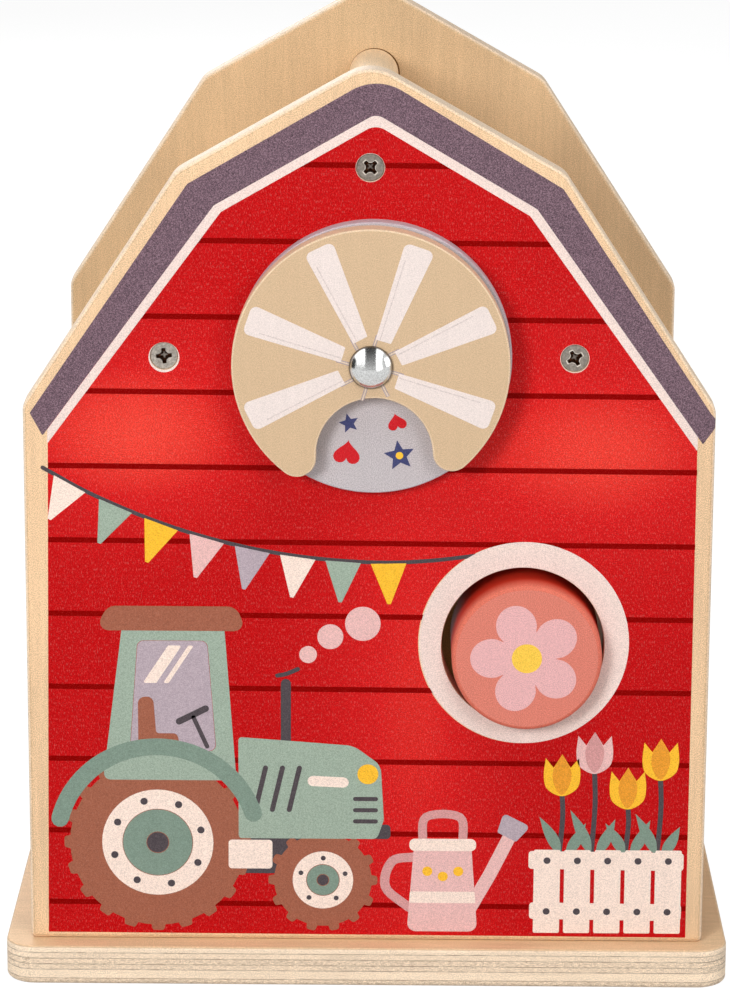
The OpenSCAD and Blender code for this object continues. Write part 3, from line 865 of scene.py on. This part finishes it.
for name, lift, leaves in (
        ("left", 0.084, ((57.6, 14, 28), (66.6, 16, 24), (76.6, 12, 30), (86.0, 15, 26))),
        ("right", 0.088, ((58.8, 12, -30), (67.8, 13, -26), (77.8, 13, -28), (87.2, 11, -30)))):
    draw(name + "_tulip_leaves", [leaf(x, 39, long, lean) for x, long, lean in leaves], lift, deep_green)
tulip = curve([(-4.9, 5.6), (-5.4, 0), (-4.3, -4), (0, -6.2), (4.3, -4), (5.4, 0), (4.9, 5.6)]) + [
    Vector(p) for p in ((2.5, 2.6), (0, 6.8), (-2.5, 2.6))]
petal = curve([(0, 6.8), (2.7, 1.4), (2.1, -3.2), (0, -5.8), (-2.1, -3.2), (-2.7, 1.4), (0, 6.8)])[:-1]
for name, tint, inner, heads in (("gold", gold, amber, (57.5, 77.0)), ("pink", pink, rose, (67.0,)),
                                 ("late", gold, amber, (86.5,))):
    for part, shape, lift, finish in (("tulips", tulip, 0.095, tint), ("tulip_petals", petal, 0.11, inner)):
        draw(name + "_" + part, [[p + Vector((x, stems[x])) for p in shape] for x in heads], lift, finish)
crate_x = [49.6 + 9.0 * k for k in range(5)]
draw("crate_boards", [oblong(x, 14.8, x + 7.8, 41, 0.5) for x in crate_x], 0.10, ivory)
draw("crate_rails", [rounded([(48, 35), (94, 34.6), (94, 40.2), (48, 40.6)], 1),
                     rounded([(48.4, 19.2), (93.6, 18.8), (93.6, 24), (48.4, 24.4)], 1)], 0.115, ivory)
draw("crate_nails", [circle(x + 3.9, z, 1.05, 16) for x in crate_x for z in (37.6, 21.6)], 0.13, charcoal)


# Bin and handle
# A birch board lies level between the gables, and two thin birch walls stand in grooves under
# it, each with its sanded sorting hole. A round beech rod between the peaks is the handle.
def square(wide, r, z):
    return round_corners(four_corners(-wide / 2, z - wide / 2, wide / 2, z + wide / 2, r))


def triangle(reach, r, z):
    """Triangle that stands on its side, as far as reach from the middle to its sharp corners"""
    return round_corners([(x * reach, z + y * reach, r) for x, y in ((0, 1), (-0.866, -0.5), (0.866, -0.5))])


pale_veneer, wall_out, wall_thick = (241, 206, 167), 74.5, 5
wall_plies = [(0.0, 0.1), (0.33, 0.6), (0.67, 0.1)]
wall_outline = round_corners(four_corners(-83, 9, 83, 187.8, 0.4))
for name, side, hole in (("left_wall", facing("left", -wall_out, 0, 0), square(41.7, 6.85, 100)),
                         ("right_wall", facing("right", wall_out, 0, 0), triangle(36.03, 6.85, 100))):
    wood = birch("birch_" + name, side, wall_thick, wall_plies, pale_veneer)
    wall = sawn_board(name + "_panel", side, wall_outline, wall_thick, 0.3, wood, [(hole, 0.6)])
    stands_for(wall, name, "barn")
shelf_top = facing("top", 0, 0, 194.8)
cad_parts["top_board"].data.materials[0] = birch("birch_shelf", shelf_top, 10, gable_plies, pale_veneer)


def turned(mesh, where, profile, count=64):
    """Surface of a turned part, from (radius, height) pairs, closed where the radius is nought"""
    rings = []
    for r, h in profile:
        loop = [p for p, out in round_hole(0, 0, r, count)] if r else [Vector((0, 0))]
        rings.append([mesh.verts.new(where @ Vector((*p, h))) for p in loop])
    for low, high in zip(rings, rings[1:]):
        for k in range(count):
            corners = [low[k - 1 if len(low) > 1 else 0], low[k if len(low) > 1 else 0],
                       high[k if len(high) > 1 else 0], high[k - 1 if len(high) > 1 else 0]]
            mesh.faces.new(list(dict.fromkeys(corners)))


rod_out, rod_r = 83, 8
rod_long = 2 * rod_out
rod = bmesh.new()
turned(rod, facing("front", 0, -rod_out, rod_z),
       [(0, 0), (7.6, 0), (rod_r, -0.4), (rod_r, -40), (rod_r, -83), (rod_r, -126), (rod_r, 0.4 - rod_long),
        (7.6, -rod_long), (0, -rod_long)])
rod_wood = birch("beech_rod", facing("left", 0, 0, rod_z, 90), 2 * rod_r, (), (250, 218, 179))
rod = make_piece("handle_rod", rod, rod_wood)
stands_for(rod, "handle_dowel", "barn")
# Painted shade: a thin dark ring of ink round each end of the rod stands for the shadow in the gap there,
# widest on the right
shade = ink("socket_shade", front_face, (112, 78, 44), rough=0.9, fleck=0.0, grain=0.03, gloss=0.02)
for name, side, y, shift in (("front", "back", -rod_out, -0.24), ("back", "front", rod_out, 0.24)):
    gap = [circle(shift, rod_z - 0.05, 8.29), circle(0, rod_z, 7.9)]
    printed(name + "_rod_socket", facing(side, 0, y, 0), [gap], 0.04, shade)


# Windmill
# A lavender disc is glued to the gable, and a beige one turns in front of it on a steel pin,
# with a washer between them. A half-round window in the turning disc shows the one behind.
SKY_R, MILL_R, WINDOW_R, TIP_R = 39.65, 39.7, 16.7, 5.5
sky_x, sky_z, sky_thick, washer_thick, mill_thick = 1.2, 191.0, 5, 1, 6.5
sky_face = facing("front", sky_x, -gable_out - sky_thick, sky_z)
sky_pin = (pin_x - sky_x, screw_z - sky_z)
sky_edge = ink("pale_lavender_edge", sky_face, (188, 174, 180))
sky = sawn_board("sky_plate", sky_face, round_hole(0, 0, SKY_R, 180), sky_thick, 0.45, sky_edge,
                 [pin_hole(*sky_pin)], back_edge=0.05)
stands_for(sky, "sky_disc", "barn")
printed("lavender_face", sky_face, [[circle(0, 0, SKY_R - 0.4, 180), circle(*sky_pin, 2.3, 32)]], 0.015,
        ink("lavender_ink", sky_face, (188, 180, 182), grain=0.07))


def arc(x, y, r, start, end, count, side=1):
    """Points and ways out along an arc, in degrees; side is -1 where the wood is outside it"""
    return [(Vector((x, y)) + r * s, s * side) for s in spokes(math.radians(start), math.radians(end), count)]


tip_x = WINDOW_R + TIP_R
tip_y = -math.sqrt((MILL_R - TIP_R) ** 2 - tip_x ** 2)
tip_turn = math.degrees(math.atan2(tip_y, tip_x))
mill_outline = (arc(0, 0, MILL_R, tip_turn, 180 - tip_turn, 150)
                + arc(-tip_x, tip_y, TIP_R, 180 - tip_turn, 360, 16)
                + arc(0, -9.2 - WINDOW_R, WINDOW_R, 180, 0, 64, -1)
                + arc(tip_x, tip_y, TIP_R, 180, 360 + tip_turn, 16))
mill_face = facing("front", pin_x, -gable_out - sky_thick - washer_thick - mill_thick, screw_z, 2.5)
# The disc's sanded rim keeps the tan edge colour, lighter than the beige print: partly its bare wood and
# partly a painted highlight along the rim
mill = sawn_board("windmill_plate", mill_face, mill_outline, mill_thick, 0.45,
                  ink("tan_edge", mill_face, (222, 196, 164)), [pin_hole(0, 0)], back_edge=0.3)
stands_for(mill, "windmill_disc", "windmill")
beige_shape = [[p - out * 0.5 for p, out in mill_outline], circle(0, 0, 2.3, 32)]
beige = ink("beige_ink", mill_face, (204, 175, 141), grain=0.04)
printed("beige_face", mill_face, [beige_shape], 0.03, beige, "windmill")

# The print sits a little off the pin; the two spokes at the window carry no sail
sail_middle = mill_face @ Matrix.Translation((-0.27, -0.27, 0))
first_spoke, spoke_y = math.radians(-19.4), 0.72
sail = rounded([(8.42, -3.62, 0.3), (37.25, -7.7, 1.8), (37.55, 1.15, 1.8), (8.42, 0.92, 0.2)])
spoke, core = [[(4.2, spoke_y - w), (end, spoke_y - w), (end, spoke_y + w), (4.2, spoke_y + w)]
               for w, end in ((0.5, 9.8), (0.2, 9.7))]
crease = [(8.7, -0.5), (33, -0.5), (33, -0.14), (8.7, -0.14)]
for name, shape, lift, finish, kept in (
        ("spokes", spoke, 0.05, ink("spoke_ink", mill_face, (168, 150, 152)), 8),
        ("spoke_cores", core, 0.06, ink("core_ink", mill_face, (216, 196, 174)), 8),
        ("sails", sail, 0.07, ink("sail_ink", mill_face, (227, 213, 207), fleck=0.0, grain=0.03), 6),
        ("sail_creases", crease, 0.08, ink("crease_ink", mill_face, (212, 197, 192)), 6)):
    ring_of(name, sail_middle, shape, lift, finish, 8, first_spoke, kept, "windmill")


# Small stars and hearts are printed all round the disc behind, for the window to find
def star(size, points=5):
    reach = [size if k % 2 == 0 else size * 0.46 for k in range(2 * points)]
    return [Vector((r * math.sin(-math.pi * k / points), r * math.cos(math.pi * k / points)))
            for k, r in enumerate(reach)]


def heart(size):
    turns = [2 * math.pi * k / 28 for k in range(28)]
    return [Vector((16 * math.sin(-t) ** 3, 13 * math.cos(t) - 5 * math.cos(2 * t) - 2 * math.cos(3 * t)
                    - math.cos(4 * t))) * size / 17 for t in turns]


def set_off(shape, x, turn):
    """A shape turned, in degrees, and moved from the middle to x"""
    return [Matrix.Rotation(math.radians(turn), 2) @ p + Vector((x, 0)) for p in shape]


navy = ink("navy_ink", sky_face, (62, 66, 108))
scarlet = ink("scarlet_ink", sky_face, (198, 26, 34))
sky_gold = ink("sky_gold_ink", sky_face, (240, 190, 60))
for name, shape, lift, finish, start in (
        ("navy_stars", set_off(star(4.6), 29.5, 12), 0.04, navy, -75),
        ("navy_sparks", set_off(star(3.0), 20.2, -20), 0.04, navy, -110),
        ("scarlet_hearts", set_off(heart(4.1), 29.0, -82), 0.04, scarlet, -105),
        ("scarlet_seeds", set_off(heart(2.9), 20.0, -96), 0.04, scarlet, -70),
        ("gold_dots", circle(29.5, 0, 1.1, 16), 0.05, sky_gold, -75)):
    ring_of(name, sky_face, shape, lift, finish, 5, math.radians(start))


# Screws, washer, pin and cap
# Zinc-plated countersunk screws with cross recesses hold the boards together. A plain steel
# pin carries the windmill, and a polished cap is pushed on its end.
def plated_steel():
    """Zinc plate with painted shade in its cross recess; on the screws right of the left one the plate is
    darker and the recess rim has a painted glint
    """
    finish, tree, shader = new_finish("plated_steel", 0.42)
    shader.inputs["Metallic"].default_value = 0.9
    spot = board_place(tree, front_face)
    blotch = noise(spot, (1.3, 1.3, 1.3), 4.0, 0.7)
    plate = ramp(blotch, [(0.35, paint(150, 141, 132)), (0.7, paint(222, 213, 201))])
    sunk = wire(tree, "ShaderNodeAttribute", attribute_name="sunk").outputs["Fac"]
    # The screws right of the left one get a darker plate
    side = split(spot)[0]
    right_darkening = ramp(calc("MULTIPLY_ADD", side, 0.02, 0.9), [(0.0, 0.0), (0.5, 0.5)])
    plate = blend_colours(right_darkening, plate, paint(104, 95, 86))
    # Painted glint round the rim of the recess, on the darker screws only
    rim_glint = calc("MULTIPLY", ramp(sunk, [(0.0, 0.0), (0.2, 1.6), (0.3, 0.0)]), right_darkening)
    plate = blend_colours(rim_glint, plate, paint(246, 236, 222))
    # Painted shade down in the cross recess
    plate = blend_colours(ramp(sunk, [(0.3, 0.0), (0.7, 1.0)]), plate, paint(72, 42, 24))
    tree.links.new(plate, shader.inputs["Base Color"])
    tree.links.new(spread(blotch, 0.34, 0.62), shader.inputs["Roughness"])
    raise_bumps(tree, shader, blotch, 0.3, 0.05)
    return finish


def recess_corners():
    """Outline of a cross recess, its arms round at the end and hollow between"""
    arm = [(2.26, -0.42), (2.26, 0.42), (2.1, 0.58), (1.3, 0.62), (0.93, 0.93), (0.62, 1.3), (0.58, 2.1)]
    return [Matrix.Rotation(math.radians(90 * k), 2) @ Vector(p) for k in range(4) for p in arm]


def cross_screw(name, length):
    """Countersunk screw with its head at height nought and its point below"""
    mesh = bmesh.new()
    sunk = mesh.verts.layers.float.new("sunk")
    body = [(3.76, 0), (3.96, -0.12), (4.01, -0.3), (1.75, -2.6), (1.75, 3 - length), (0.3, -length),
            (0, -length)]
    turned(mesh, Matrix.Identity(4), body, 40)
    mesh.verts.ensure_lookup_table()
    rim = mesh.verts[:40]
    rings = []
    # dark is each ring's share of the painted glint (0.2) and of the painted shade (more) in the recess
    for size, deep, dark in ((1.2, 0.0, 0.0), (1.13, 0.0, 0.2), (1.03, 0.0, 0.2), (0.96, -0.15, 0.8),
                             (0.7, -1.5, 1.0), (0.3, -1.9, 0.42)):
        rings.append([mesh.verts.new((*(p * size), deep)) for p in recess_corners()])
        for corner in rings[-1]:
            corner[sunk] = dark
    skin(mesh, rings)
    mesh.faces.new(rings[-1])
    fill(mesh, [rim, rings[0]], Matrix.Identity(4))
    return make_piece(name, mesh, steel, flat=True)


def screw_tree():
    """A screw on each point, turned by the point's mark and sunk a little"""
    tree, given = node_tree("screws", {"Screw": "Object", "Sunk": "Float"})
    screw = wire(tree, "GeometryNodeObjectInfo", {"Object": given["Screw"]}).outputs["Geometry"]
    down = join(z=calc("MULTIPLY", given["Sunk"], -1.0))
    screw = wire(tree, "GeometryNodeTransform", {"Geometry": screw, "Translation": down}).outputs[0]
    return copies_on(tree, given, given["Geometry"], screw, mark(tree, "aim"))


steel = plated_steel()
screws = screw_tree()
board_seats = [(x, y, screw_z) for y in (-gable_out, gable_out) for x in (-screw_x, screw_x)]
handle_seats = [(0, y, rod_z) for y in (-gable_out, gable_out)]
plate_seats = [(x, y, 0) for x in base_screw_x for y in base_screw_y]
door_screw, short_end = plate_seats[3], 11
for name, node, length, seats, twists in (
        ("gable_screws", "board_screws", 30, board_seats, (0.08, 0.50, 0.9, 0.2)),
        ("rod_screws", "handle_screws", 35, handle_seats, (0.76, 0.3)),
        ("plate_screws", "base_screws", 32, plate_seats, (0.1, 0.6, 0.3, 0.8, 0.5, 0.2, 0.7, 0.4))):
    aims = []
    for (x, y, z), twist in zip(seats, twists):
        up = Vector((0, 0, -1)) if z == 0 else Vector((0, 1 if y > 0 else -1, 0))
        aims.append((up.to_track_quat("Z", "Y") @ Quaternion((0, 0, 1), twist)).to_euler())
    model = cross_screw(name + "_model", length)
    piece = grow(name, screws, Matrix.Scale(MM, 4), seats, {"aim": aims}, screw=model, sunk=0.3, finish=steel)
    bpy.data.objects.remove(model)
    if seats is plate_seats:
        # The screw under the doorway is a short one, so that its point stays inside the base board
        for corner in piece.data.vertices:
            if math.dist(corner.co.xy, (door_screw[0] * MM, door_screw[1] * MM)) < 5 * MM:
                corner.co.z = min(corner.co.z, short_end * MM)
    stands_for(piece, node, "barn")
for node in ("disc_washer", "windmill_pin"):
    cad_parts[node].data.materials[0] = steel


def polished_steel():
    """Bright steel with a faint haze, and a dark band painted at the rim where the cap turns down, as painted
    shade and grime there
    """
    finish, tree, shader = new_finish("polished_steel", 0.15)
    shader.inputs["Metallic"].default_value = 1.0
    spot = board_place(tree, front_face)
    haze = noise(spot, (2.6, 2.6, 2.6), 3.0, 0.7)
    tint = ramp(haze, [(0.36, paint(196, 196, 195)), (0.62, paint(226, 227, 226))])
    # Painted shade and grime: the colour darkens on the rim, from 5.65 mm out from the pin
    middle = vector_calc("SUBTRACT", spot, (pin_x, screw_z, 0))[0]
    middle = vector_calc("MULTIPLY", middle, (0.1, 0.1, 0))[0]
    reach = vector_calc("LENGTH", middle)[1]
    tint = blend_colours(ramp(reach, [(0.565, 0.0), (0.605, 0.85)]), tint, paint(92, 88, 84))
    tree.links.new(tint, shader.inputs["Base Color"])
    raise_bumps(tree, shader, noise(spot, (3, 3, 3), 2.0), 0.07, 0.02)
    return finish


cap_r, cap_high, skirt = 6.25, 4.0, 0.7
dome_r = (cap_r ** 2 + (cap_high - skirt) ** 2) / (2 * (cap_high - skirt))
widest = math.asin(cap_r / dome_r)
dome = [(dome_r * math.sin(t), cap_high - dome_r + dome_r * math.cos(t))
        for t in (widest * k / 20 for k in range(20, 0, -1))]
cap = bmesh.new()
turned(cap, facing("front", pin_x, -105.6, screw_z),
       [(0, 2.5), (2.0, 2.5), (2.0, 0), (5.9, 0), (6.1, 0.08), (cap_r, 0.3)] + dome + [(0, cap_high)], 96)
stands_for(make_piece("polished_cap", cap, polished_steel()), "hub_cap", "barn")


# Blocks
# Three solid beech blocks, one for each sorting hole, with round edges and a coat of paint.
# Each stands on the lower edge of its hole, a little proud of the wall, and carries a print.
def block_paint(name, where, tint, hole_shade=None):
    """Matt paint, darkened towards the back of the block as painted shade, where the block sits in its hole
    """
    finish = ink(name, where, tint, rough=0.55, gloss=0.06)
    if hole_shade:
        # Painted shade: the paint darkens from 2 mm behind the face to 8 mm
        tree = finish.node_tree
        shader = tree.nodes["Principled BSDF"]
        depth = split(board_place(tree, where))[2]
        share = ramp(calc("MULTIPLY", depth, -0.1), [(0.2, 0.0), (0.8, 1.0)])
        coat = blend_colours(share, shader.inputs["Base Color"].links[0].from_socket, paint(*hole_shade))
        tree.links.new(coat, shader.inputs["Base Color"])
    return finish


def petals(count, r, dip):
    """Outline of a round-petalled flower"""
    turns = [2 * math.pi * k / (24 * count) for k in range(24 * count)]
    return [Vector((math.cos(t), math.sin(t))) * r * (dip + (1 - dip) * abs(math.sin(count * t / 2)) ** 0.62)
            for t in turns]


block_thick = 28
flowers = []
# Each block's third colour is the painted shade it takes towards its back, in the hole
for name, node, face, outline, tint, edge_tint, hole_shade, body, slot, flower in (
        ("coral_disc", "round_block", facing("front", 46.3, -101, 102.625), round_hole(0, 0, 21.9, 128),
         (213, 124, 107), (213, 113, 93), (196, 52, 34), "round_piece", "coral_paint",
         ("blossom", petals(5, 16.5, 0.5), (224, 172, 172), (243, 196, 74))),
        ("sage_square", "square_block", facing("left", -86.5, 0, 98.3), square(38, 5, 0),
         (143, 173, 158), (138, 169, 153), (106, 144, 126), "square_piece", "sage_paint",
         ("daisy", petals(8, 13.5, 0.5), (240, 222, 208), (243, 188, 62))),
        ("yellow_triangle", "triangle_block", facing("right", 86.5, 0, 98.3), triangle(32.33, 5, 0),
         (240, 184, 48), (238, 178, 42), (214, 146, 24), "triangle_piece", "yellow_paint",
         ("clover", petals(4, 10.5, 0.45), (140, 162, 142), (240, 222, 208)))):
    coat = block_paint(name + "_paint", face, edge_tint, hole_shade)
    block = sawn_board(name, face, outline, block_thick, 1.5, coat)
    printed(name + "_face", face, [[p - out * 1.2 for p, out in outline]], 0.02,
            block_paint(name + "_face_paint", face, tint), body)
    stands_for(block, node, body)
    flowers.append((face, body, slot, *flower))
for face, body, slot, name, outer, tint, inner in flowers:
    printed(name + "_print", face, [outer], 0.04, ink(name + "_ink", face, tint), body)
    printed(name + "_heart", face, [circle(0, 0, 4.4, 40)], 0.06, ink(name + "_heart_ink", face, inner),
            body)
